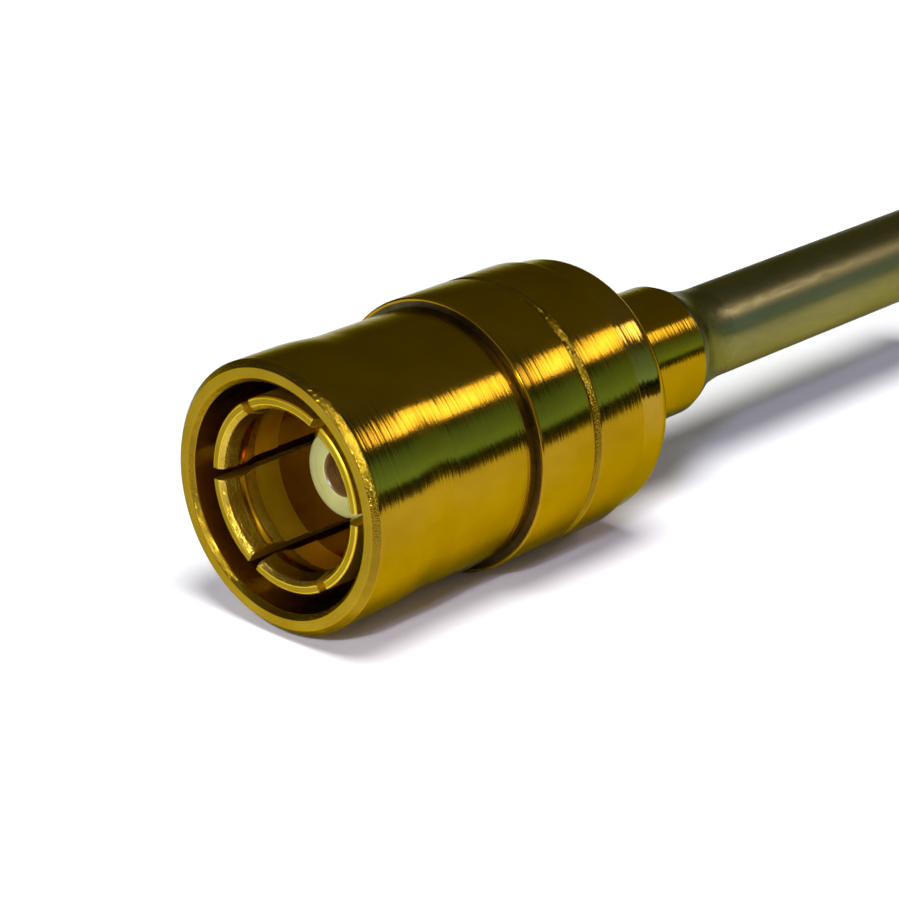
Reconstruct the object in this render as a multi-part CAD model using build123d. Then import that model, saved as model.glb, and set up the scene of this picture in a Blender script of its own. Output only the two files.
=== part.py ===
from build123d import *
import os

# Straight push-on coaxial plug, soldered to a semi-rigid cable.
# Its axis lies along X. X = 0 is the mating rim and X grows towards the cable. Z is up.
# All sizes are in millimetres. A size that ends in _d is a diameter. Walls, steps, gaps and
# depths are radial, and lengths run along the axis.

# Fits between the pieces
press_gap = 0.004
insulator_gap = 0.010
contact_gap = 0.020
cable_gap = 0.040

# Spring contact: six fingers whose bead grips the barrel of the mating jack
grip_d = 3.54
grip_length = 0.22
finger_recess = 0.28
finger_tip_chamfer = 0.03
lead_in_depth = 0.10
lead_in_length = 0.40
grip_relief_depth = 0.16
grip_relief_length = 0.40
finger_bore_length = 0.70
finger_wall = 0.20
spring_wall = 0.15
cavity_depth = 3.50
spring_base_length = 1.70
saw_cut_count = 3
saw_cut_width = 0.24
saw_cut_web = 0.20
saw_cut_turn = -1.8

# Shroud, the thin sleeve that guards the spring fingers
finger_clearance = 0.36
shroud_wall = 0.3975
front_land_height = 0.0825
front_land_length = 1.95
waist_slope_length = 0.10
rim_chamfer = 0.15
mouth_chamfer = 0.11

# Main body, which carries the shroud on its spigot and the spring contact in its bore
body_step = 0.2025
flange_lead = 0.32
spigot_setback = 0.20
spigot_lead = 0.05
main_lip_thickness = 0.40
seam_chamfer = 0.125

# Rear body, whose neck takes the cable
rear_spigot_wall = 0.74
rear_spigot_length = 1.055
rear_land_length = 1.545
rear_land_chamfer = 0.05
shoulder_drop = 0.12
shoulder_length = 1.15
shoulder_round = 0.45
neck_wall = 0.42
neck_length = 2.90
neck_root_chamfer = 0.05
rear_seat_depth = 1.60
cable_stop_thickness = 0.30
cable_stop_clearance = 0.11

# Insulators, the front one with a nose and the rear one a plain bush
insulator_d = 3.20
nose_d = 2.00
nose_recess = 1.97
nose_chamfer = 0.05
entry_clearance = 0.04
entry_chamfer = 0.05
front_flange_length = 1.60
collar_pocket_depth = 0.80

# Centre contact, a slotted socket in front and a solder cup behind
pin_bore_d = 0.53
pin_bore_depth = 2.00
contact_wall = 0.175
contact_recess = 0.30
contact_lead_in = 0.06
contact_tip_chamfer = 0.03
contact_slot_count = 2
contact_slot_width = 0.09
contact_slot_length = 1.40
collar_height = 0.26
collar_end_play = 0.02
tail_setback = 0.40
solder_cup_gap = 0.045
solder_cup_depth = 1.35
inspection_hole_d = 0.24
inspection_hole_setback = 0.75

# Semi-rigid cable, cut square
cable_d = 2.18
cable_jacket_wall = 0.25
cable_wire_d = 0.51
cable_length = 16.5
wire_in_cup = 1.20

# Solder that holds the cable in the neck
solder_setback = 0.95
solder_margin = 0.03
fillet_length = 1.95
fillet_crown = 0.60
fillet_tail = 1.10
fillet_edge = 0.012

# Stations along the axis, from the rim to the end of the cable
grip_x = finger_recess + lead_in_length
grip_end_x = grip_x + grip_length
finger_bore_x = grip_end_x + grip_relief_length
spring_x = finger_bore_x + finger_bore_length
contact_tip_x = nose_recess + contact_recess
slot_end_x = cavity_depth - saw_cut_web
spigot_front_x = cavity_depth + spigot_setback
insulator_split_x = cavity_depth + front_flange_length
collar_x = insulator_split_x - collar_pocket_depth
spring_base_x = cavity_depth + spring_base_length
flange_x = spring_base_x - flange_lead
rear_spigot_x = spring_base_x + main_lip_thickness
body_seam_x = rear_spigot_x + rear_spigot_length
rear_seat_x = rear_spigot_x + rear_seat_depth
tail_x = rear_seat_x - tail_setback
cup_floor_x = tail_x - solder_cup_depth
wire_tip_x = tail_x - wire_in_cup
cable_stop_x = rear_seat_x + cable_stop_thickness
rear_land_x = body_seam_x + rear_land_length
shoulder_x = rear_land_x + shoulder_length
neck_x = shoulder_x + neck_length
cable_end_x = cable_stop_x + cable_length

# Radii of the shell, worked outwards from the jack that the fingers grip
grip_r = grip_d / 2
finger_bore_r = grip_r + grip_relief_depth
finger_outer_r = finger_bore_r + finger_wall
shroud_bore_r = finger_outer_r + finger_clearance
waist_r = shroud_bore_r + shroud_wall
front_land_r = waist_r + front_land_height
body_r = waist_r + body_step
shoulder_r = body_r - shoulder_drop
contact_seat_r = finger_outer_r + press_gap

# Radii inside, worked outwards from the jack's pin and from the cable
pin_bore_r = pin_bore_d / 2
contact_r = pin_bore_r + contact_wall
insulator_r = insulator_d / 2
insulator_seat_r = insulator_r + insulator_gap
rear_spigot_r = insulator_seat_r + rear_spigot_wall
wire_r = cable_wire_d / 2
cup_r = wire_r + solder_cup_gap
cable_r = cable_d / 2
cable_core_r = cable_r - cable_jacket_wall
cable_stop_r = cable_core_r + cable_stop_clearance
cable_bore_r = cable_r + cable_gap
neck_r = cable_bore_r + neck_wall


def turned(*corners):
    """Turn an outline of (x, radius) corners about X."""
    return revolve(make_face(Polyline(*corners, close=True)), Axis.X)


def tube(start_x, end_x, inner_r, outer_r):
    """Plain ring or sleeve between two stations."""
    return turned((start_x, inner_r), (start_x, outer_r), (end_x, outer_r), (end_x, inner_r))


def saw_cuts(count, width, start_x, end_x, reach, turn=0.0):
    """Thin blades across the axis, each of which cuts two slots that face each other."""
    blade = Pos((start_x + end_x) / 2, 0, 0) * Box(end_x - start_x, reach, width)
    return [Rot(turn + index * 180 / count, 0, 0) * blade for index in range(count)]


def make_shroud():
    """Sleeve with a broad land at the rim, a slimmer waist and a plain bore."""
    return turned(
        (mouth_chamfer, shroud_bore_r),
        (0, shroud_bore_r + mouth_chamfer),
        (0, front_land_r - rim_chamfer),
        (rim_chamfer, front_land_r),
        (front_land_length, front_land_r),
        (front_land_length + waist_slope_length, waist_r),
        (flange_x, waist_r),
        (flange_x, shroud_bore_r),
    )


def make_spring_contact():
    """Ring of fingers with a gripping bead near the tips, thin springs and a solid base."""
    tip_x = finger_recess
    tip_r = grip_r + lead_in_depth
    spring_inner_r = finger_outer_r - spring_wall
    ring = turned(
        (tip_x + finger_tip_chamfer, tip_r),
        (tip_x, tip_r + finger_tip_chamfer),
        (tip_x, finger_outer_r - finger_tip_chamfer),
        (tip_x + finger_tip_chamfer, finger_outer_r),
        (spring_base_x, finger_outer_r),
        (spring_base_x, insulator_seat_r),
        (cavity_depth, insulator_seat_r),
        (cavity_depth, spring_inner_r),
        (spring_x, spring_inner_r),
        (spring_x, finger_bore_r),
        (finger_bore_x, finger_bore_r),
        (grip_end_x, grip_r),
        (grip_x, grip_r),
    )
    cuts = saw_cuts(saw_cut_count, saw_cut_width, 0, slot_end_x, 2 * shroud_bore_r, saw_cut_turn)
    return ring - cuts


def make_main_body():
    """Flange with a spigot in front for the shroud and a counterbore behind for the rear body."""
    spigot_r = shroud_bore_r - press_gap
    counterbore_r = rear_spigot_r + press_gap
    return turned(
        (spigot_front_x, contact_seat_r),
        (spigot_front_x, spigot_r - spigot_lead),
        (spigot_front_x + spigot_lead, spigot_r),
        (flange_x, spigot_r),
        (flange_x, body_r),
        (body_seam_x - seam_chamfer, body_r),
        (body_seam_x, body_r - seam_chamfer),
        (body_seam_x, counterbore_r),
        (rear_spigot_x, counterbore_r),
        (rear_spigot_x, insulator_seat_r),
        (spring_base_x, insulator_seat_r),
        (spring_base_x, contact_seat_r),
    )


def make_rear_body():
    """Spigot, land, rounded shoulder and neck, bored for the insulator and for the cable."""
    outline = make_face(
        Polyline(
            (rear_spigot_x, insulator_seat_r),
            (rear_spigot_x, rear_spigot_r),
            (body_seam_x, rear_spigot_r),
            (body_seam_x, body_r - seam_chamfer),
            (body_seam_x + seam_chamfer, body_r),
            (rear_land_x - rear_land_chamfer, body_r),
            (rear_land_x, body_r - rear_land_chamfer),
            (rear_land_x, shoulder_r),
            (shoulder_x, shoulder_r),
            (shoulder_x, neck_r + neck_root_chamfer),
            (shoulder_x + neck_root_chamfer, neck_r),
            (neck_x, neck_r),
            (neck_x, cable_bore_r),
            (cable_stop_x, cable_bore_r),
            (cable_stop_x, cable_stop_r),
            (rear_seat_x, cable_stop_r),
            (rear_seat_x, insulator_seat_r),
            close=True,
        )
    )
    shoulder_corner = outline.vertices().sort_by_distance((shoulder_x, shoulder_r, 0))[0]
    return revolve(fillet(shoulder_corner, shoulder_round), Axis.X)


def make_front_insulator():
    """White bush with a nose that enters the mating jack, and a pocket for the contact's collar."""
    nose_r = nose_d / 2
    entry_r = contact_r + entry_clearance
    collar_pocket_r = contact_r + collar_height + contact_gap
    return turned(
        (nose_recess, entry_r + entry_chamfer),
        (nose_recess, nose_r - nose_chamfer),
        (nose_recess + nose_chamfer, nose_r),
        (cavity_depth, nose_r),
        (cavity_depth, insulator_r),
        (insulator_split_x, insulator_r),
        (insulator_split_x, collar_pocket_r),
        (collar_x, collar_pocket_r),
        (collar_x, entry_r),
        (nose_recess + entry_chamfer, entry_r),
    )


def make_rear_insulator():
    """White bush that closes the collar's pocket and keeps the contact's tail in the middle."""
    return tube(insulator_split_x, rear_seat_x, contact_r + contact_gap, insulator_r)


def make_centre_contact():
    """Slotted socket for the jack's pin, a collar that locks it, and a cup for the cable's wire."""
    collar_r = contact_r + collar_height
    collar_end_x = insulator_split_x - collar_end_play
    pin_floor_x = contact_tip_x + pin_bore_depth
    body = turned(
        (contact_tip_x, pin_bore_r + contact_lead_in),
        (contact_tip_x, contact_r - contact_tip_chamfer),
        (contact_tip_x + contact_tip_chamfer, contact_r),
        (collar_x, contact_r),
        (collar_x, collar_r),
        (collar_end_x, collar_r),
        (collar_end_x, contact_r),
        (tail_x, contact_r),
        (tail_x, cup_r),
        (cup_floor_x, cup_r),
        (cup_floor_x, 0),
        (pin_floor_x, 0),
        (pin_floor_x, pin_bore_r),
        (contact_tip_x + contact_lead_in, pin_bore_r),
    )
    slot_end = contact_tip_x + contact_slot_length
    slots = saw_cuts(contact_slot_count, contact_slot_width, nose_recess, slot_end, 2 * collar_r)
    return body - slots - make_inspection_hole()


def make_inspection_hole():
    """Small hole in the side of the solder cup, where solder is fed in."""
    hole = Cylinder(inspection_hole_d / 2, contact_r, align=(Align.CENTER, Align.CENTER, Align.MIN))
    return Pos(tail_x - inspection_hole_setback, 0, 0) * hole


def make_contact_solder():
    """Solder that fills the cup round the cable's wire, and the inspection hole."""
    fill = Pos(cup_floor_x, 0, 0) * Rot(0, 90, 0) * Cylinder(
        cup_r, solder_cup_depth, align=(Align.CENTER, Align.CENTER, Align.MIN)
    )
    return fill + make_inspection_hole() - make_cable_wire()


def make_cable_solder():
    """Solder drawn into the neck round the cable, with a fillet that runs out along the cable."""
    solder_start_x = cable_stop_x + solder_setback
    crown_r = neck_r - solder_margin
    tail_r = cable_r + fillet_edge
    fillet_end_x = neck_x + fillet_length
    fillet_curve = Bezier(
        (neck_x, crown_r),
        (neck_x + fillet_crown, crown_r),
        (fillet_end_x - fillet_tail, tail_r),
        (fillet_end_x, tail_r),
    )
    rest = Polyline(
        (fillet_end_x, tail_r),
        (fillet_end_x, cable_r),
        (solder_start_x, cable_r),
        (solder_start_x, cable_bore_r),
        (neck_x, cable_bore_r),
        (neck_x, crown_r),
    )
    return revolve(make_face([fillet_curve, rest]), Axis.X)


def make_cable_jacket():
    """Solid copper tube, the cable's outer conductor."""
    return tube(cable_stop_x, cable_end_x, cable_core_r, cable_r)


def make_cable_dielectric():
    """White core between the copper tube and the wire."""
    return tube(cable_stop_x, cable_end_x, wire_r, cable_core_r)


def make_cable_wire():
    """Plated centre wire, which reaches forward into the contact's cup."""
    length = cable_end_x - wire_tip_x
    wire = Cylinder(wire_r, length, align=(Align.CENTER, Align.CENTER, Align.MIN))
    return Pos(wire_tip_x, 0, 0) * Rot(0, 90, 0) * wire


nodes = {
    "shroud": make_shroud(),
    "spring_contact": make_spring_contact(),
    "main_body": make_main_body(),
    "rear_body": make_rear_body(),
    "front_insulator": make_front_insulator(),
    "rear_insulator": make_rear_insulator(),
    "centre_contact": make_centre_contact(),
    "contact_solder": make_contact_solder(),
    "cable_solder": make_cable_solder(),
    "cable_jacket": make_cable_jacket(),
    "cable_dielectric": make_cable_dielectric(),
    "cable_wire": make_cable_wire(),
}

os.makedirs("parts", exist_ok=True)
for name, solid in nodes.items():
    export_step(solid, f"parts/{name}.step")
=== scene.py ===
import math
import bmesh
import bpy
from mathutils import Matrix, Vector, noise as lumps


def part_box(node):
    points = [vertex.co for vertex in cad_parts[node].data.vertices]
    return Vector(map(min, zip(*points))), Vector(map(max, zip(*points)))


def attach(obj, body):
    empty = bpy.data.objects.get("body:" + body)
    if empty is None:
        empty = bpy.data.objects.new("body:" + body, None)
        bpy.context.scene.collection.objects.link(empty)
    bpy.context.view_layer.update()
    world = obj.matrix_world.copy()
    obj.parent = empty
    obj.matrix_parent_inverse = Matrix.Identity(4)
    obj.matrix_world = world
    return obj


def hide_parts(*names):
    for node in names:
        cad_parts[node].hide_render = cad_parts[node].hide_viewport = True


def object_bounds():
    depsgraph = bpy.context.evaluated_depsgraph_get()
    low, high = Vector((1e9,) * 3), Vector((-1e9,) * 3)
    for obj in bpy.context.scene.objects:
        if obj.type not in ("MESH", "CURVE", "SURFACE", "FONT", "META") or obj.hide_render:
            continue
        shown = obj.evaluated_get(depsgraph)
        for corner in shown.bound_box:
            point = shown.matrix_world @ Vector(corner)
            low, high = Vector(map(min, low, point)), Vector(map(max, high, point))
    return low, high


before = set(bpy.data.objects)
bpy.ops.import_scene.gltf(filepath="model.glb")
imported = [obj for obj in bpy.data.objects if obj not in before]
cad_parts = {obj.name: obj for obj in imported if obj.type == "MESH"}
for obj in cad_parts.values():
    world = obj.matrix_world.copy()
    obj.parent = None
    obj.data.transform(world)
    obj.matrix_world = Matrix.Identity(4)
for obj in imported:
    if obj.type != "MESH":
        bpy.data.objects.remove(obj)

# A gold-plated push-on coaxial plug on a short stub of semi-rigid cable, lying on a white table.
# Its axis is X, from the mating rim at 0 towards the cable. All lengths are in metres.

MM = 0.001
cad_low, cad_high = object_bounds()
table_z = cad_low.z

# How finely a turned piece is divided round its axis
TURN_STEPS = 288

# How the corners of an outline are told apart and broken, with angles and slopes in degrees
SAME_CORNER = 0.004 * MM
ON_STRETCH = SAME_CORNER / 100
SOFT_REACH = 0.06 * MM
SHARP_ANGLE = 157
EDGE_BREAK = 0.02 * MM
INSULATOR_BREAK = 0.03 * MM
FLANGE_BREAK = 0.06 * MM
BREAK_SHARE = 0.45
BREAK_POINTS = 4
CHAMFER_SLOPES = (12, 78)
SHORTEST_CHAMFER = 0.03 * MM

# The step behind the sleeve's front land: its corners, and how far each way it is drawn out
WAIST_CORNERS = (Vector((1.95, 2.97)) * MM, Vector((2.05, 2.8875)) * MM)
WAIST_EASE = 0.60 * MM
WAIST_POINTS = 16

# Where the finish and the painted light and shade change on the sleeve, the bodies and the front
# insulator
SHROUD_BORE_R = 2.49 * MM
MOUTH_DEPTH = 0.14 * MM
RIM_DEPTH = 0.28 * MM
SEAM_WIDTH = 0.12 * MM
POLISHED_X = 8.2 * MM
SHOULDER_ARC_R = 2.4 * MM
WETTED_LENGTH = 0.11 * MM
WETTED_INNER_R = 1.37 * MM
PIN_HOLE_R = 0.52 * MM

# Spring contact: its section from the tips of the six fingers to the solid base
FINGER_RECESS = 0.28 * MM
FINGER_TIP_CHAMFER = 0.03 * MM
FINGER_TIP_INNER = 0.08 * MM
LEAD_IN_DEPTH = 0.10 * MM
LEAD_IN_LENGTH = 0.40 * MM
GRIP_R = 1.77 * MM
GRIP_LENGTH = 0.22 * MM
GRIP_RELIEF_DEPTH = 0.16 * MM
GRIP_RELIEF_LENGTH = 0.40 * MM
FINGER_BORE_LENGTH = 0.70 * MM
FINGER_OUTER_R = 2.13 * MM
SPRING_INNER_R = 1.98 * MM
CAVITY_DEPTH = 3.50 * MM
SPRING_BASE_R = 1.61 * MM
SPRING_BASE_X = 5.20 * MM
SLOT_COUNT = 6
SLOT_WIDTH = 0.24 * MM
SLOT_TURN = -1.8
SLOT_END_X = 3.30 * MM
FINGER_COLUMNS = 44
SLOT_COLUMNS = 4
SLOT_EDGE_BREAK = 0.012 * MM
SLOT_EDGE_SEGMENTS = 2
SLOT_EDGE_ANGLE = 50

# Solder between the neck and the cable: its curve, and its lumps per metre with their height and spread
SOLDER_CROWN_R = 1.52 * MM
SOLDER_CROWN_LENGTH = 0.32 * MM
SOLDER_TAIL_LENGTH = 1.35 * MM
SOLDER_EDGE = 0.003 * MM
SOLDER_SUNK = 0.002 * MM
SOLDER_RINGS = 36
LUMP_SCALE = 1400
LUMP_HEIGHT = 0.014 * MM
LUMP_START = 0.05
LUMP_SPREAD = 1.2

# Camera

CAMERA_PLACE = Vector((-39.875, -42.206, 24.301)) * MM
CAMERA_ELEVATION = 21.93
CAMERA_AZIMUTH = -46.94
CAMERA_LENS = 120.79


def make_camera():
    """Camera at the photograph's viewing angle, looking down along the plug from its mating end."""
    data = bpy.data.cameras.new("camera")
    data.sensor_width = 36.0
    data.lens = CAMERA_LENS
    data.clip_start = 1 * MM
    data.clip_end = 5.0
    camera = bpy.data.objects.new("camera", data)
    camera.location = CAMERA_PLACE
    camera.rotation_euler = (math.radians(90 - CAMERA_ELEVATION), 0, math.radians(CAMERA_AZIMUTH))
    bpy.context.scene.collection.objects.link(camera)
    bpy.context.scene.camera = camera


# Node trees

def new_material(name):
    """Empty node material; returns the material, its nodes and its links."""
    material = bpy.data.materials.new(name)
    material.use_nodes = True
    nodes = material.node_tree.nodes
    nodes.clear()
    return material, nodes, material.node_tree.links


def add_node(nodes, kind, settings=None, inputs=None):
    """New node with its properties and its unlinked inputs set."""
    node = nodes.new(kind)
    for key, value in (settings or {}).items():
        setattr(node, key, value)
    for key, value in (inputs or {}).items():
        node.inputs[key].default_value = value
    return node


def add_ramp(nodes, links, factor, stops, interpolation="LINEAR"):
    """Colour ramp from (position, colour) stops, driven by a socket; returns its colour socket."""
    node = nodes.new("ShaderNodeValToRGB")
    ramp = node.color_ramp
    ramp.interpolation = interpolation
    while len(ramp.elements) < len(stops):
        ramp.elements.new(1.0)
    for element, (position, colour) in zip(ramp.elements, stops):
        element.position = position
        element.color = (*colour, 1.0)
    links.new(factor, node.inputs["Fac"])
    return node.outputs["Color"]


def grey(value):
    return (value, value, value)


def math_node(nodes, links, operation, *values):
    """Math node whose inputs are sockets or numbers; returns its output socket."""
    node = nodes.new("ShaderNodeMath")
    node.operation = operation
    for index, value in enumerate(values):
        if isinstance(value, (int, float)):
            node.inputs[index].default_value = value
        else:
            links.new(value, node.inputs[index])
    return node.outputs[0]


def turned_place(nodes, links):
    """Where a point lies on a piece turned about X: sockets of x, radius, y and z."""
    where = nodes.new("ShaderNodeTexCoord")
    parts = nodes.new("ShaderNodeSeparateXYZ")
    links.new(where.outputs["Object"], parts.inputs["Vector"])
    x, y, z = (parts.outputs[axis] for axis in "XYZ")
    squares = math_node(nodes, links, "MULTIPLY_ADD", z, z, math_node(nodes, links, "MULTIPLY", y, y))
    return x, math_node(nodes, links, "SQRT", squares), y, z


def ring_coordinates(nodes, links, along, across):
    """Coordinates in which a noise makes rings about X on sides and faces alike, scaled per metre."""
    x, radius, y, z = turned_place(nodes, links)
    combine = nodes.new("ShaderNodeCombineXYZ")
    profile = math_node(nodes, links, "MULTIPLY", math_node(nodes, links, "ADD", x, radius), along)
    links.new(profile, combine.inputs["X"])
    links.new(math_node(nodes, links, "MULTIPLY", y, across), combine.inputs["Y"])
    links.new(math_node(nodes, links, "MULTIPLY", z, across), combine.inputs["Z"])
    return combine.outputs["Vector"]


def plain_coordinates(nodes, links, along, across):
    """Object coordinates scaled per metre, along X and across it."""
    where = nodes.new("ShaderNodeTexCoord")
    mapping = add_node(nodes, "ShaderNodeMapping", inputs={"Scale": (along, across, across)})
    links.new(where.outputs["Object"], mapping.inputs["Vector"])
    return mapping.outputs["Vector"]


def noise(nodes, links, vector, detail=2.0, roughness=0.5):
    """Noise over these coordinates; returns its value from 0 to 1."""
    inputs = {"Scale": 1.0, "Detail": detail, "Roughness": roughness}
    node = add_node(nodes, "ShaderNodeTexNoise", inputs=inputs)
    links.new(vector, node.inputs["Vector"])
    return node.outputs["Fac"]


def bump(nodes, links, height, distance):
    """Bump of this height map over this distance; returns the normal socket."""
    node = add_node(nodes, "ShaderNodeBump", inputs={"Strength": 1.0, "Distance": distance})
    links.new(height, node.inputs["Height"])
    return node.outputs["Normal"]


def finish_material(material, nodes, links, shader):
    """Link the shader to the material's output."""
    output = nodes.new("ShaderNodeOutputMaterial")
    links.new(shader.outputs["BSDF"], output.inputs["Surface"])
    return material


# Materials

# Tints of gold plating and of dull metal at grazing angles
GOLD_EDGE = (0.45, 0.45, 0.15)
DULL_EDGE = (0.50, 0.48, 0.32)

# Gold finishes: light and dark colour, roughness, slope of the rings in degrees, their pitch,
# how much is pitted and how far the gloss is drawn out across the rings
GOLD_FINISHES = {
    "gold_body": ((0.405, 0.240, 0.012), (0.33, 0.190, 0.008), 0.155, 3.4, 0.055 * MM, 0.12, 0.6),
    "gold_polished": ((0.42, 0.255, 0.030), (0.36, 0.215, 0.022), 0.11, 1.6, 0.14 * MM, 0.15, 0.6),
    # The chamfers' darker colours are painted shade.
    "gold_chamfer_painted_shade": ((0.33, 0.205, 0.014), (0.19, 0.115, 0.006), 0.11, 5.0, 0.06 * MM, 3.0, 0.1),
    "gold_face": ((0.36, 0.245, 0.020), (0.29, 0.19, 0.013), 0.28, 1.5, 0.05 * MM, 1.0, 0.3),
    # The sleeve's bore is brighter than the body's gold: painted light in the gap round the fingers.
    "gold_spring": ((0.66, 0.44, 0.020), (0.54, 0.32, 0.010), 0.18, 1.5, 0.06 * MM, 0.8, 0.4),
    # The fingers' bore, outer side and slot walls are brighter than the body's gold: painted light.
    "gold_bore_painted_light": ((0.86, 0.64, 0.040), (0.74, 0.50, 0.020), 0.36, 1.5, 0.06 * MM, 0.8, 0.2),
    # The slopes behind the tips are brighter too: painted light.
    "gold_slope_painted_light": ((0.62, 0.44, 0.060), (0.44, 0.28, 0.020), 0.17, 6.0, 0.06 * MM, 3.0, 0.1),
    # The crest and the root are darker and redder: painted shade.
    "gold_crest_painted_shade": ((0.50, 0.270, 0.010), (0.40, 0.190, 0.006), 0.16, 1.5, 0.05 * MM, 0.8, 0.3),
    "gold_contact": ((0.50, 0.33, 0.03), (0.38, 0.22, 0.012), 0.22, 2.0, 0.04 * MM, 1.0, 0.3),
}

# Dull finishes: dark and light colour, roughness, grains per metre, their height, and how far they
# are drawn out along X
DULL_FINISHES = {
    # Near-black painted shade in the joint between the sleeve and the first land.
    "seam_painted_shade": ((0.035, 0.030, 0.014), (0.16, 0.13, 0.06), 0.42, 18000, 0.006 * MM, 1.0),
    "solder": ((0.17, 0.16, 0.052), (0.27, 0.25, 0.085), 0.30, 5000, 0.003 * MM, 1.0),
    "wetted_edge": ((0.19, 0.17, 0.075), (0.29, 0.26, 0.12), 0.30, 9000, 0.003 * MM, 1.0),
    "tinned_copper": ((0.20, 0.182, 0.057), (0.27, 0.243, 0.082), 0.36, 9000, 0.0006 * MM, 3.0),
    "silvered_wire": ((0.45, 0.43, 0.38), (0.70, 0.68, 0.60), 0.3, 20000, 0.002 * MM, 1.0),
}

# PTFE finishes: dark and light colour
PTFE_FINISHES = {
    "ptfe": ((0.40, 0.41, 0.14), (0.52, 0.54, 0.21)),
    # Painted shade and a painted amber reflection inside the pin's entry hole.
    "shaded_ptfe": ((0.11, 0.055, 0.012), (0.18, 0.09, 0.025)),
}

# The solder's painted shade behind the neck: where it ends and where it is full, its colour and its share
SOLDER_PAINTED_SHADE_LENGTHS = (1.0 * MM, 0.25 * MM)
SOLDER_PAINTED_SHADE = ((0.085, 0.085, 0.045), 0.5)

# The bare cut end of the tube: where it starts and where it is full, its colour and its share
BARE_COPPER_DEPTHS = (0.03 * MM, 0.025 * MM)
BARE_COPPER = ((0.52, 0.20, 0.09), 1.0)

# Noises, in waves per metre along the axis and across it
RING_WAVER = 220
FINE_WAVER = 900
PATCHES = (600, 900)
CLOUDS = (700, 900)
PTFE_CLOUDS = (1500, 1500)
PTFE_MARKS = (20000, 500)
PTFE_MARK_HEIGHT = 0.002 * MM

# Mean slope of a noise of unit scale, and the share and pitch of the marks finer than the rings
NOISE_SLOPE = 0.6
FINE_RINGS = 3
FINE_SHARE = 0.12
PIT_PITCH = 0.035 * MM


def gold_material(name, light, dark, roughness, ring_slope, ring_pitch, speckle, anisotropy):
    """Turned and gold-plated metal: rings about the axis that tilt it by ring_slope degrees, and pits."""
    material, nodes, links = new_material(name)
    shader = add_node(
        nodes,
        "ShaderNodeBsdfPrincipled",
        inputs={
            "Metallic": 1.0,
            "Specular Tint": (*GOLD_EDGE, 1.0),
            "Anisotropic": anisotropy,
            "Anisotropic Rotation": 0.25,
        },
    )
    tangent = add_node(nodes, "ShaderNodeTangent", {"direction_type": "RADIAL", "axis": "X"})
    links.new(tangent.outputs["Tangent"], shader.inputs["Tangent"])

    rings = noise(nodes, links, ring_coordinates(nodes, links, 1 / ring_pitch, RING_WAVER), detail=1.0)
    fine_place = ring_coordinates(nodes, links, FINE_RINGS / ring_pitch, FINE_WAVER)
    fine = noise(nodes, links, fine_place, detail=1.0)
    pits = noise(nodes, links, plain_coordinates(nodes, links, 1 / PIT_PITCH, 1 / PIT_PITCH), detail=1.0)
    marks = math_node(nodes, links, "MULTIPLY_ADD", fine, FINE_SHARE, rings)
    marks = math_node(nodes, links, "MULTIPLY_ADD", pits, speckle * PIT_PITCH / ring_pitch, marks)
    normal = bump(nodes, links, marks, math.radians(ring_slope) * ring_pitch / NOISE_SLOPE)
    links.new(normal, shader.inputs["Normal"])

    patches = noise(nodes, links, plain_coordinates(nodes, links, *PATCHES), detail=5.0, roughness=0.6)
    links.new(add_ramp(nodes, links, patches, [(0.32, dark), (0.68, light)]), shader.inputs["Base Color"])
    rough = add_ramp(nodes, links, rings, [(0.35, grey(roughness * 0.9)), (0.65, grey(roughness * 1.12))])
    links.new(rough, shader.inputs["Roughness"])
    return finish_material(material, nodes, links, shader)


def dull_metal_material(name, dark, light, roughness, grain, height, stretch, zone):
    """Dull metal or solder, cloudy and streaked; a zone has (start x, full x, colour, share)."""
    material, nodes, links = new_material(name)
    shader = add_node(
        nodes, "ShaderNodeBsdfPrincipled", inputs={"Metallic": 1.0, "Specular Tint": (*DULL_EDGE, 1.0)}
    )
    cloud_place = plain_coordinates(nodes, links, CLOUDS[0] / stretch, CLOUDS[1])
    cloud = noise(nodes, links, cloud_place, detail=6.0, roughness=0.6)
    colour = add_ramp(nodes, links, cloud, [(0.3, dark), (0.7, light)])
    if zone is not None:
        start_x, full_x, zone_colour, share = zone
        place = add_node(
            nodes, "ShaderNodeMapRange", inputs={"From Min": start_x, "From Max": full_x, "To Max": share}
        )
        links.new(turned_place(nodes, links)[0], place.inputs["Value"])
        mix = add_node(nodes, "ShaderNodeMix", {"data_type": "RGBA"}, {"B": (*zone_colour, 1.0)})
        links.new(place.outputs["Result"], mix.inputs["Factor"])
        links.new(colour, mix.inputs["A"])
        colour = mix.outputs["Result"]
    links.new(colour, shader.inputs["Base Color"])
    frost = noise(nodes, links, plain_coordinates(nodes, links, grain / stretch, grain), detail=4.0)
    rough = add_ramp(nodes, links, frost, [(0.3, grey(roughness * 0.85)), (0.7, grey(roughness * 1.2))])
    links.new(rough, shader.inputs["Roughness"])
    links.new(bump(nodes, links, frost, height), shader.inputs["Normal"])
    return finish_material(material, nodes, links, shader)


def ptfe_material(name, dark, light):
    """Waxy PTFE with faint facing marks."""
    material, nodes, links = new_material(name)
    shader = add_node(
        nodes,
        "ShaderNodeBsdfPrincipled",
        inputs={
            "Subsurface Weight": 1.0,
            "Subsurface Scale": 0.8 * MM,
            "Subsurface Radius": (1.0, 0.9, 0.7),
            "Specular IOR Level": 0.9,
        },
    )
    cloud = noise(nodes, links, plain_coordinates(nodes, links, *PTFE_CLOUDS), detail=4.0)
    tint = add_ramp(nodes, links, cloud, [(0.3, dark), (0.7, light)])
    links.new(tint, shader.inputs["Base Color"])
    marks = noise(nodes, links, ring_coordinates(nodes, links, *PTFE_MARKS), detail=4.0)
    rough = add_ramp(nodes, links, marks, [(0.3, grey(0.26)), (0.7, grey(0.42))])
    links.new(rough, shader.inputs["Roughness"])
    links.new(bump(nodes, links, marks, PTFE_MARK_HEIGHT), shader.inputs["Normal"])
    return finish_material(material, nodes, links, shader)


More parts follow.
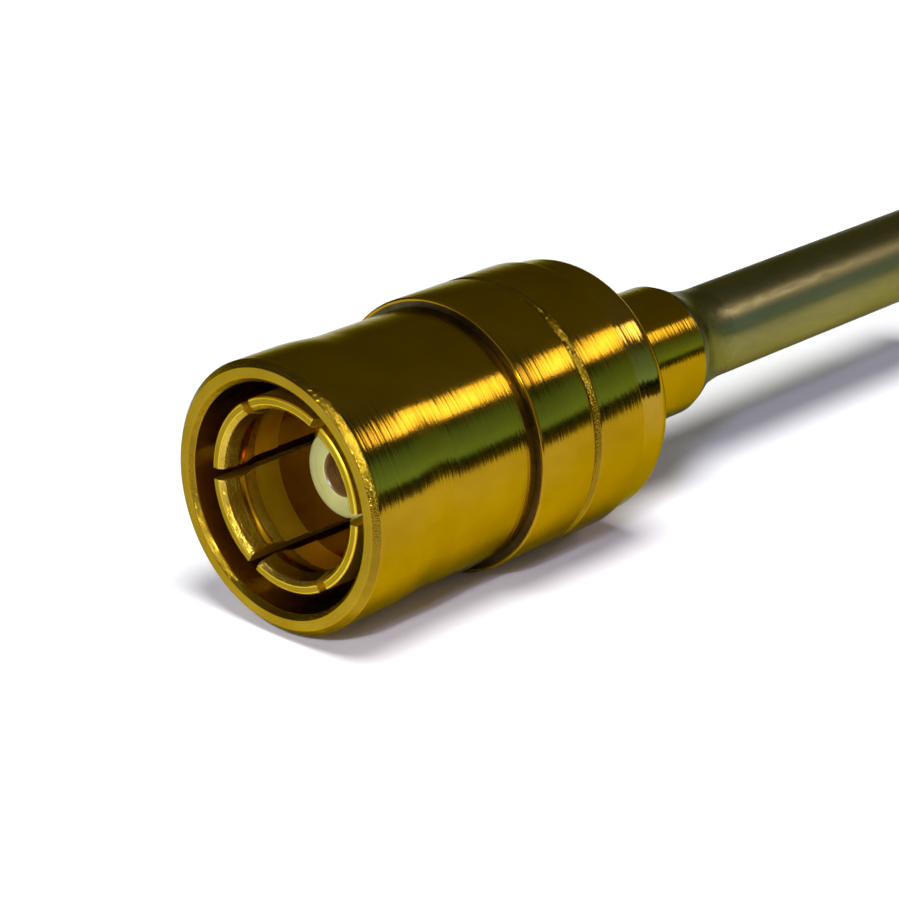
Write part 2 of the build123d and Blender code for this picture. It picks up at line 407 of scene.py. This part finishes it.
def make_materials():
    """Every finish of the object, by name."""
    neck_end_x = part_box("rear_body")[1].x
    cable_end_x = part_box("cable_jacket")[1].x
    zones = {
        # Painted shade on the solder next to the neck
        "solder": (*(neck_end_x + length for length in SOLDER_PAINTED_SHADE_LENGTHS), *SOLDER_PAINTED_SHADE),
        "tinned_copper": (*(cable_end_x - depth for depth in BARE_COPPER_DEPTHS), *BARE_COPPER),
    }
    finish = {name: gold_material(name, *values) for name, values in GOLD_FINISHES.items()}
    for name, values in DULL_FINISHES.items():
        finish[name] = dull_metal_material(name, *values, zones.get(name))
    for name, values in PTFE_FINISHES.items():
        finish[name] = ptfe_material(name, *values)
    return finish


def chosen(finish, *names):
    """The finishes of these names, in their order."""
    return [finish[name] for name in names]


# Outlines: closed lists of (x, radius)

def anticlockwise(outline):
    """The same closed outline, turned round if it runs clockwise."""
    area = sum(a.x * b.y - b.x * a.y for a, b in zip(outline, outline[1:] + outline[:1]))
    return outline if area > 0 else outline[::-1]


def section_outline(node_name):
    """Closed outline of a piece turned about X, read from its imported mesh."""
    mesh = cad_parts[node_name].data
    corners, corner_of = [], []
    for vertex in mesh.vertices:
        here = Vector((vertex.co.x, math.hypot(vertex.co.y, vertex.co.z)))
        for index, corner in enumerate(corners):
            if (corner - here).length < SAME_CORNER:
                corner_of.append(index)
                break
        else:
            corner_of.append(len(corners))
            corners.append(here)
    joined = [set() for _ in corners]
    for edge in mesh.edges:
        a, b = (corner_of[vertex] for vertex in edge.vertices)
        if a != b:
            joined[a].add(b)
            joined[b].add(a)
    order = [0, min(joined[0])]
    while order[-1] != 0:
        here = corners[order[-1]]
        following = joined[order[-1]] - {order[-2]}
        order.append(min(following, key=lambda index: (corners[index] - here).length))
    return anticlockwise([corners[index] for index in order[:-1]])


def broken(outline, size, softer=()):
    """The same closed outline with its sharp corners rounded; softer lists (corner, size) exceptions."""
    result = []
    for index, here in enumerate(outline):
        before = outline[index - 1] - here
        after = outline[(index + 1) % len(outline)] - here
        if before.angle(after) > math.radians(SHARP_ANGLE):
            result.append(here)
            continue
        wanted = max([size, *(soft for corner, soft in softer if (here - corner).length < SOFT_REACH)])
        reach = min(wanted, before.length * BREAK_SHARE, after.length * BREAK_SHARE)
        start = here + before.normalized() * reach
        end = here + after.normalized() * reach
        for step in range(BREAK_POINTS + 1):
            t = step / BREAK_POINTS
            result.append(start * (1 - t) ** 2 + here * 2 * t * (1 - t) + end * t**2)
    return result


def with_corner(outline, corner):
    """The same closed outline with one more corner in the stretch that it lies on."""
    for index, here in enumerate(outline):
        before = outline[index - 1]
        detour = (before - corner).length + (corner - here).length - (here - before).length
        if detour < ON_STRETCH:
            return outline[:index] + [corner] + outline[index:]
    return outline


def stretch_kind(a, b):
    """0 for a stretch along the axis or round a corner, 1 for a chamfer and 2 for a flat face."""
    slope = math.degrees(math.atan2(abs(b.y - a.y), abs(b.x - a.x)))
    if (b - a).length < SHORTEST_CHAMFER or slope < CHAMFER_SLOPES[0]:
        return 0
    return 1 if slope < CHAMFER_SLOPES[1] else 2


# Meshes

def new_piece(name, vertices, faces, kinds, materials, nodes):
    """Object from its faces, with a material slot for each kind of face, riding in place of CAD nodes."""
    mesh = bpy.data.meshes.new(name)
    mesh.from_pydata(vertices, [], faces)
    for material in materials:
        mesh.materials.append(material)
    mesh.polygons.foreach_set("material_index", [min(kind, len(materials) - 1) for kind in kinds])
    mesh.shade_smooth()
    cleaned = bmesh.new()
    cleaned.from_mesh(mesh)
    bmesh.ops.recalc_face_normals(cleaned, faces=cleaned.faces)
    cleaned.to_mesh(mesh)
    cleaned.free()
    piece = bpy.data.objects.new(name, mesh)
    bpy.context.scene.collection.objects.link(piece)
    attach(piece, "root")
    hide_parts(*nodes)
    return piece


def weight_normals(piece):
    """Let large faces set the shading, so that flat stretches stay flat beside their rounds."""
    modifier = piece.modifiers.new("normals", "WEIGHTED_NORMAL")
    modifier.mode = "FACE_AREA"
    modifier.weight = 100
    modifier.keep_sharp = True


def turned_piece(name, outline, materials, nodes, kind_of=stretch_kind):
    """Piece made by turning a closed outline about X."""
    turns = [2 * math.pi * step / TURN_STEPS for step in range(TURN_STEPS)]
    vertices = [(p.x, p.y * math.cos(a), p.y * math.sin(a)) for p in outline for a in turns]
    faces, kinds = [], []
    for i, here in enumerate(outline):
        following = (i + 1) % len(outline)
        for j in range(TURN_STEPS):
            k = (j + 1) % TURN_STEPS
            row, next_row = i * TURN_STEPS, following * TURN_STEPS
            faces.append((row + j, next_row + j, next_row + k, row + k))
            kinds.append(kind_of(here, outline[following]))
    piece = new_piece(name, vertices, faces, kinds, materials, nodes)
    weight_normals(piece)
    return piece


# Pieces

def eased_waist(outline):
    """The sleeve's outline with the step behind its front land drawn out into a soft slope."""
    land, waist = WAIST_CORNERS
    result = []
    for here in outline:
        if (here - waist).length < SAME_CORNER:
            for step in range(WAIST_POINTS + 1):
                t = step / WAIST_POINTS
                x = waist.x + WAIST_EASE + (land.x - waist.x - 2 * WAIST_EASE) * t
                result.append(Vector((x, waist.y + (land.y - waist.y) * (3 - 2 * t) * t**2)))
        elif (here - land).length > SAME_CORNER:
            result.append(here)
    return result


def make_shroud(finish):
    """Thin outer sleeve with its front land, slimmer waist and plain bore."""
    outline = broken(eased_waist(section_outline("shroud")), EDGE_BREAK)
    finishes = chosen(finish, "gold_body", "gold_chamfer_painted_shade", "gold_face", "gold_spring")

    def kind_of(a, b):
        middle_x = (a.x + b.x) / 2
        # The bore behind the mouth takes painted light.
        if max(a.y, b.y) < SHROUD_BORE_R + EDGE_BREAK and middle_x > MOUTH_DEPTH:
            return 3
        return stretch_kind(a, b) if middle_x < RIM_DEPTH else 0

    return turned_piece("shroud_sleeve", outline, finishes, ["shroud"], kind_of)


def make_main_body(finish):
    """First broad land, with painted shade in the joint with the sleeve."""
    flange_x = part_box("shroud")[1].x
    seam_r = WAIST_CORNERS[1].y + SEAM_WIDTH
    flange_corner = Vector((flange_x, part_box("main_body")[1].z))
    outline = broken(section_outline("main_body"), EDGE_BREAK, [(flange_corner, FLANGE_BREAK)])
    outline = with_corner(outline, Vector((flange_x, seam_r)))
    finishes = chosen(finish, "gold_body", "gold_chamfer_painted_shade", "seam_painted_shade", "gold_face")

    def kind_of(a, b):
        kind = stretch_kind(a, b)
        return 3 if kind == 2 and max(a.y, b.y) > seam_r + SAME_CORNER else kind

    return turned_piece("main_body_land", outline, finishes, ["main_body"], kind_of)


def make_rear_body(finish):
    """Second broad land with the rounded shoulder and the neck."""
    outline = broken(section_outline("rear_body"), EDGE_BREAK)
    finishes = chosen(finish, "gold_body", "gold_chamfer_painted_shade", "gold_body", "wetted_edge", "gold_polished")
    neck_end_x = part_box("rear_body")[1].x

    def kind_of(a, b):
        if min(a.x, b.x) > neck_end_x - WETTED_LENGTH and min(a.y, b.y) > WETTED_INNER_R:
            return 3
        on_shoulder = min(a.x, b.x) > POLISHED_X and min(a.y, b.y) > SHOULDER_ARC_R
        return 4 if on_shoulder else stretch_kind(a, b)

    return turned_piece("rear_body_land", outline, finishes, ["rear_body"], kind_of)


def make_front_insulator(finish):
    """Cream nose with the pin's entry hole, whose inside is darkened with painted shade and a painted
    amber reflection of the gold contact.
    """
    outline = broken(section_outline("front_insulator"), INSULATOR_BREAK)
    finishes = chosen(finish, "ptfe", "shaded_ptfe")

    def kind_of(a, b):
        # The entry hole's wall takes painted shade.
        return 1 if max(a.y, b.y) < PIN_HOLE_R else 0

    return turned_piece("insulator_nose", outline, finishes, ["front_insulator"], kind_of)


def spring_outline():
    """Section of a finger and of the base behind it, from the end of the slot round the tip."""
    grip_x = FINGER_RECESS + LEAD_IN_LENGTH
    grip_end_x = grip_x + GRIP_LENGTH
    bore_x = grip_end_x + GRIP_RELIEF_LENGTH
    bore_end_x = bore_x + FINGER_BORE_LENGTH
    tip_r = GRIP_R + LEAD_IN_DEPTH
    bore_r = GRIP_R + GRIP_RELIEF_DEPTH
    corners = (
        (SLOT_END_X, FINGER_OUTER_R),
        (FINGER_RECESS + FINGER_TIP_CHAMFER, FINGER_OUTER_R),
        (FINGER_RECESS, FINGER_OUTER_R - FINGER_TIP_CHAMFER),
        (FINGER_RECESS, tip_r + FINGER_TIP_INNER),
        (FINGER_RECESS + FINGER_TIP_INNER, tip_r - LEAD_IN_DEPTH * FINGER_TIP_INNER / LEAD_IN_LENGTH),
        (grip_x, GRIP_R),
        (grip_end_x, GRIP_R),
        (bore_x, bore_r),
        (bore_end_x, bore_r),
        (bore_end_x, SPRING_INNER_R),
        (SLOT_END_X, SPRING_INNER_R),
        (CAVITY_DEPTH, SPRING_INNER_R),
        (CAVITY_DEPTH, SPRING_BASE_R),
        (SPRING_BASE_X, SPRING_BASE_R),
        (SPRING_BASE_X, FINGER_OUTER_R),
    )
    return [Vector(corner) for corner in corners]


def spring_kind(a, b):
    """Finish of a stretch of the fingers: slopes and bore brightened with painted light, a crest and root
    darkened with painted shade, and faced tips.
    """
    grip_x = FINGER_RECESS + LEAD_IN_LENGTH
    grip_end_x = grip_x + GRIP_LENGTH
    bore_x = grip_end_x + GRIP_RELIEF_LENGTH
    middle = (a + b) / 2
    if middle.y > FINGER_OUTER_R - FINGER_TIP_CHAMFER:
        return 0
    if grip_x < middle.x < grip_end_x or middle.x > bore_x + FINGER_BORE_LENGTH:
        return 4
    if middle.x < bore_x and middle.y < GRIP_R + LEAD_IN_DEPTH + FINGER_TIP_INNER:
        return 1
    return stretch_kind(a, b)


def make_spring_contact(finish):
    """Ring of six fingers, parted by saw cuts that end in a solid base."""
    outline = broken(spring_outline(), EDGE_BREAK)
    front_count = 1 + max(index for index, p in enumerate(outline) if p.x <= SLOT_END_X)
    behind = [0, *range(front_count - 1, len(outline))]
    half_slot = SLOT_WIDTH / 2
    pitch = 2 * math.pi / SLOT_COUNT
    vertices, faces, kinds, number = [], [], [], {}

    def place(key, x, radius, turn):
        number[key] = len(vertices)
        vertices.append((x, radius * math.cos(turn), radius * math.sin(turn)))

    for slot in range(SLOT_COUNT):
        middle = math.radians(SLOT_TURN) + slot * pitch
        for i, p in enumerate(outline):
            edge = math.asin(half_slot / p.y)
            for j in range(FINGER_COLUMNS + 1):
                turn = middle + edge + (pitch - 2 * edge) * j / FINGER_COLUMNS
                place(("finger", slot, i, j), p.x, p.y, turn)
        for i in behind:
            p = outline[i]
            edge = math.asin(half_slot / p.y)
            for j in range(1, SLOT_COLUMNS):
                place(("slot", slot, i, j), p.x, p.y, middle - edge + 2 * edge * j / SLOT_COLUMNS)

    def slot_corner(slot, i, j):
        if j == 0:
            return number["finger", (slot - 1) % SLOT_COUNT, i, FINGER_COLUMNS]
        if j == SLOT_COLUMNS:
            return number["finger", slot, i, 0]
        return number["slot", slot, i, j]

    for slot in range(SLOT_COUNT):
        for i, p in enumerate(outline):
            following = (i + 1) % len(outline)
            for j in range(FINGER_COLUMNS):
                around = ((i, j), (following, j), (following, j + 1), (i, j + 1))
                faces.append([number["finger", slot, a, b] for a, b in around])
                kinds.append(spring_kind(p, outline[following]))
        for i, following in zip(behind, behind[1:] + behind[:1]):
            for j in range(SLOT_COLUMNS):
                around = ((i, j), (following, j), (following, j + 1), (i, j + 1))
                faces.append([slot_corner(slot, a, b) for a, b in around])
                kinds.append(0)
        for j in (0, FINGER_COLUMNS):
            faces.append([number["finger", slot, i, j] for i in range(front_count)])
            kinds.append(3)

    finishes = chosen(finish, "gold_bore_painted_light", "gold_slope_painted_light", "gold_face", "gold_bore_painted_light", "gold_crest_painted_shade")
    piece = new_piece("spring_fingers", vertices, faces, kinds, finishes, ["spring_contact"])
    bevel = piece.modifiers.new("broken edges", "BEVEL")
    bevel.width = SLOT_EDGE_BREAK
    bevel.segments = SLOT_EDGE_SEGMENTS
    bevel.limit_method = "ANGLE"
    bevel.angle_limit = math.radians(SLOT_EDGE_ANGLE)
    bevel.use_clamp_overlap = False
    # The broken slot edges take the slopes' painted light.
    bevel.material = 1
    weight_normals(piece)
    return piece


def make_cable_solder(finish):
    """Slightly lumpy solder, drawn out of the neck and along the cable."""
    low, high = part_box("cable_solder")
    neck_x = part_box("rear_body")[1].x
    cable_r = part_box("cable_jacket")[1].z
    tail_r = cable_r + SOLDER_EDGE
    sunk_r = cable_r - SOLDER_SUNK
    ends = (
        Vector((neck_x, SOLDER_CROWN_R)),
        Vector((neck_x + SOLDER_CROWN_LENGTH, SOLDER_CROWN_R)),
        Vector((high.x - SOLDER_TAIL_LENGTH, sunk_r)),
        Vector((high.x, sunk_r)),
    )
    curve = []
    for ring in range(SOLDER_RINGS + 1):
        t = ring / SOLDER_RINGS
        weights = ((1 - t) ** 3, 3 * t * (1 - t) ** 2, 3 * t**2 * (1 - t), t**3)
        curve.append(sum((w * end for w, end in zip(weights, ends)), Vector((0, 0))))
    inner = [Vector((low.x, sunk_r)), Vector((low.x, tail_r)), Vector((neck_x, tail_r))]
    outline = anticlockwise(curve + inner)
    piece = turned_piece("solder_fillet", outline, [finish["solder"]], ["cable_solder"])
    for vertex in piece.data.vertices:
        radius = math.hypot(vertex.co.y, vertex.co.z)
        if vertex.co.x <= neck_x or radius <= cable_r:
            continue
        along = (vertex.co.x - neck_x) / (high.x - neck_x)
        spread = math.sin(math.pi * min(1.0, along * LUMP_SPREAD + LUMP_START))
        lump = lumps.noise(vertex.co * LUMP_SCALE) * LUMP_HEIGHT * spread
        factor = max(sunk_r, radius + lump) / radius
        vertex.co.y *= factor
        vertex.co.z *= factor
    return piece


def make_cable_jacket(finish):
    """Dull tinned copper tube, cut square at its far end."""
    outline = broken(section_outline("cable_jacket"), EDGE_BREAK)
    return turned_piece("cable_tube", outline, [finish["tinned_copper"]], ["cable_jacket"])


def dress_hidden_pieces(finish):
    """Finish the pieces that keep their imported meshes."""
    for node_name, material in (
        ("centre_contact", "gold_contact"),
        ("contact_solder", "solder"),
        ("rear_insulator", "ptfe"),
        ("cable_dielectric", "ptfe"),
        ("cable_wire", "silvered_wire"),
    ):
        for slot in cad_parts[node_name].material_slots:
            slot.material = finish[material]


# Stage and light

# The table: its half width, its white, and its dark end and where that starts in mirror images
TABLE_HALF = 1.5
TABLE_WHITE = 0.93
TABLE_MOTTLE = 60
TABLE_DARK = 0.03
TABLE_EDGE_Y = -27 * MM
TABLE_EDGE_SOFT = 4 * MM


def make_table():
    """White table, faintly mottled, that keeps the object's shadow and looks dark at its end in gloss."""
    mesh = bpy.data.meshes.new("table")
    turns = ((-1, -1), (1, -1), (1, 1), (-1, 1))
    corners = [(x * TABLE_HALF, y * TABLE_HALF, table_z) for x, y in turns]
    mesh.from_pydata(corners, [], [(0, 1, 2, 3)])
    material, nodes, links = new_material("white_table")
    gloss = {"Roughness": 0.9, "Specular IOR Level": 0.0}
    shader = add_node(nodes, "ShaderNodeBsdfPrincipled", inputs=gloss)
    mottle = noise(nodes, links, plain_coordinates(nodes, links, TABLE_MOTTLE, TABLE_MOTTLE), detail=3.0)
    tint = add_ramp(nodes, links, mottle, [(0.3, grey(TABLE_WHITE)), (0.7, grey(TABLE_WHITE * 1.01))])
    reach = {"From Min": TABLE_EDGE_Y, "From Max": TABLE_EDGE_Y - TABLE_EDGE_SOFT}
    place = add_node(nodes, "ShaderNodeMapRange", inputs=reach)
    links.new(turned_place(nodes, links)[2], place.inputs["Value"])
    path = nodes.new("ShaderNodeLightPath")
    mirrored = math_node(nodes, links, "MULTIPLY", path.outputs["Is Glossy Ray"], place.outputs["Result"])
    mix = add_node(nodes, "ShaderNodeMix", {"data_type": "RGBA"}, {"B": (*grey(TABLE_DARK), 1.0)})
    links.new(mirrored, mix.inputs["Factor"])
    links.new(tint, mix.inputs["A"])
    links.new(mix.outputs["Result"], shader.inputs["Base Color"])
    mesh.materials.append(finish_material(material, nodes, links, shader))
    table = bpy.data.objects.new("table", mesh)
    bpy.context.scene.collection.objects.link(table)


# A broad soft light from above, which isn't seen in gloss; angles here and below are in degrees
OVERHEAD_STRENGTH = 2.95
OVERHEAD_ANGLE = 28
OVERHEAD_ELEVATION = 75
OVERHEAD_AZIMUTH = 238

# Round and oval lamps 250 mm off, aimed a quarter of the way along the plug: azimuth, elevation,
# width, height and radiance
LAMP_DISTANCE = 250 * MM
LAMP_AIM = Vector(((cad_low.x * 3 + cad_high.x) / 4, 0, 0))
KEY = (-31, 32.5, 86 * MM, 44 * MM, (6.0, 5.0, 7.0))
FLASH = (212.5, 33, 32 * MM, 32 * MM, (42.0, 44.0, 70.0))

# A narrow beam into the mouth: azimuth, elevation, distance, lamp radius, cone and power in watts
BEAM = (210, 33, 80 * MM, 3 * MM, 6.5, 0.16)
BEAM_AIM = Vector((0.56 * MM, 0, 0))
BEAM_BLEND = 0.6


def direction_to(azimuth, elevation):
    """Unit vector towards this azimuth and elevation in degrees."""
    turn, rise = math.radians(azimuth), math.radians(elevation)
    return Vector((math.cos(rise) * math.cos(turn), math.cos(rise) * math.sin(turn), math.sin(rise)))


def add_lamp(name, kind, towards, distance=0.0, aim=LAMP_AIM):
    """Lamp of this kind that shines from this direction at its aim."""
    lamp = bpy.data.objects.new(name, bpy.data.lights.new(name, kind))
    lamp.location = aim + towards * distance
    lamp.rotation_euler = towards.to_track_quat("Z", "Y").to_euler()
    bpy.context.scene.collection.objects.link(lamp)
    return lamp


def make_lamps():
    """Soft light from above, an oval panel for the streak along the plug, a small flash and a beam."""
    overhead = add_lamp("overhead", "SUN", direction_to(OVERHEAD_AZIMUTH, OVERHEAD_ELEVATION))
    overhead.visible_glossy = False
    overhead.data.energy = OVERHEAD_STRENGTH
    overhead.data.angle = math.radians(OVERHEAD_ANGLE)
    for name, (azimuth, elevation, width, height, radiance) in (("key", KEY), ("flash", FLASH)):
        lamp = add_lamp(name, "AREA", direction_to(azimuth, elevation), LAMP_DISTANCE)
        lamp.data.shape = "ELLIPSE"
        lamp.data.size = width
        lamp.data.size_y = height
        brightest = max(radiance)
        lamp.data.energy = brightest * math.pi * math.pi * width * height / 4
        lamp.data.color = [channel / brightest for channel in radiance]
    azimuth, elevation, distance, radius, cone, power = BEAM
    beam = add_lamp("beam", "SPOT", direction_to(azimuth, elevation), distance, BEAM_AIM)
    beam.data.energy = power
    beam.data.shadow_soft_size = radius
    beam.data.spot_size = math.radians(cone)
    beam.data.spot_blend = BEAM_BLEND


# The dim room: its brightness by height above the horizon, with a pale front, and with a bluish
# wall on one side that looks green in gold
ROOM_STOPS = ((0.0, 0.45), (0.08, 0.30), (0.14, 0.22), (0.24, 0.13), (1.0, 0.12))
FRONT_AZIMUTH = 205
FRONT_HALF_WIDTH = 50
FRONT_COLOUR = (1.0, 0.97, 0.88)
FRONT_STOPS = ((0.0, 0.4), (0.45, 0.4), (0.60, 0.2), (1.0, 0.09))
FRONT_SOFTNESS = 0.12
WALL_AZIMUTH = -47
WALL_HALF_WIDTH = 18
WALL_COLOUR = (0.21, 0.44, 0.80)
WALL_STOPS = ((0.0, 0.02), (0.06, 0.02), (0.08, 1.6), (0.20, 1.05), (0.34, 0.7), (0.42, 0.1))
WALL_SOFTNESS = 0.025


def room_side(nodes, links, parts, colour, side):
    """The room's colour so far, with one side of it in a colour of its own."""
    azimuth, half_width, softness, side_colour, stops = side
    x, y, height = (parts.outputs[axis] for axis in "XYZ")
    turn = math.radians(azimuth)
    height_square = math_node(nodes, links, "MULTIPLY", height, height)
    level = math_node(nodes, links, "SQRT", math_node(nodes, links, "SUBTRACT", 1.0, height_square))
    along_y = math_node(nodes, links, "MULTIPLY", y, math.sin(turn))
    towards = math_node(nodes, links, "MULTIPLY_ADD", x, math.cos(turn), along_y)
    facing = math_node(nodes, links, "DIVIDE", towards, level)
    edge = math.cos(math.radians(half_width))
    mask = add_ramp(nodes, links, facing, [(edge - softness, grey(0.0)), (edge + softness, grey(1.0))])
    shades = [(stop, [channel * share for channel in side_colour]) for stop, share in stops]
    shade = add_ramp(nodes, links, height, shades)
    mix = add_node(nodes, "ShaderNodeMix", {"data_type": "RGBA"})
    links.new(mask, mix.inputs["Factor"])
    links.new(colour, mix.inputs["A"])
    links.new(shade, mix.inputs["B"])
    return mix.outputs["Result"]


def make_room():
    """World that is pale near the horizon and dark above it."""
    world = bpy.data.worlds.new("room")
    bpy.context.scene.world = world
    world.use_nodes = True
    nodes, links = world.node_tree.nodes, world.node_tree.links
    nodes.clear()
    where = nodes.new("ShaderNodeTexCoord")
    parts = nodes.new("ShaderNodeSeparateXYZ")
    links.new(where.outputs["Generated"], parts.inputs["Vector"])
    shades = [(stop, grey(value)) for stop, value in ROOM_STOPS]
    colour = add_ramp(nodes, links, parts.outputs["Z"], shades)
    for side in (
        (FRONT_AZIMUTH, FRONT_HALF_WIDTH, FRONT_SOFTNESS, FRONT_COLOUR, FRONT_STOPS),
        (WALL_AZIMUTH, WALL_HALF_WIDTH, WALL_SOFTNESS, WALL_COLOUR, WALL_STOPS),
    ):
        colour = room_side(nodes, links, parts, colour, side)
    background = nodes.new("ShaderNodeBackground")
    links.new(colour, background.inputs["Color"])
    output = nodes.new("ShaderNodeOutputWorld")
    links.new(background.outputs["Background"], output.inputs["Surface"])


make_camera()
finishes = make_materials()
make_shroud(finishes)
make_main_body(finishes)
make_rear_body(finishes)
make_spring_contact(finishes)
make_front_insulator(finishes)
make_cable_solder(finishes)
make_cable_jacket(finishes)
dress_hidden_pieces(finishes)
make_table()
make_lamps()
make_room()
bpy.context.scene.view_settings.view_transform = "Standard"
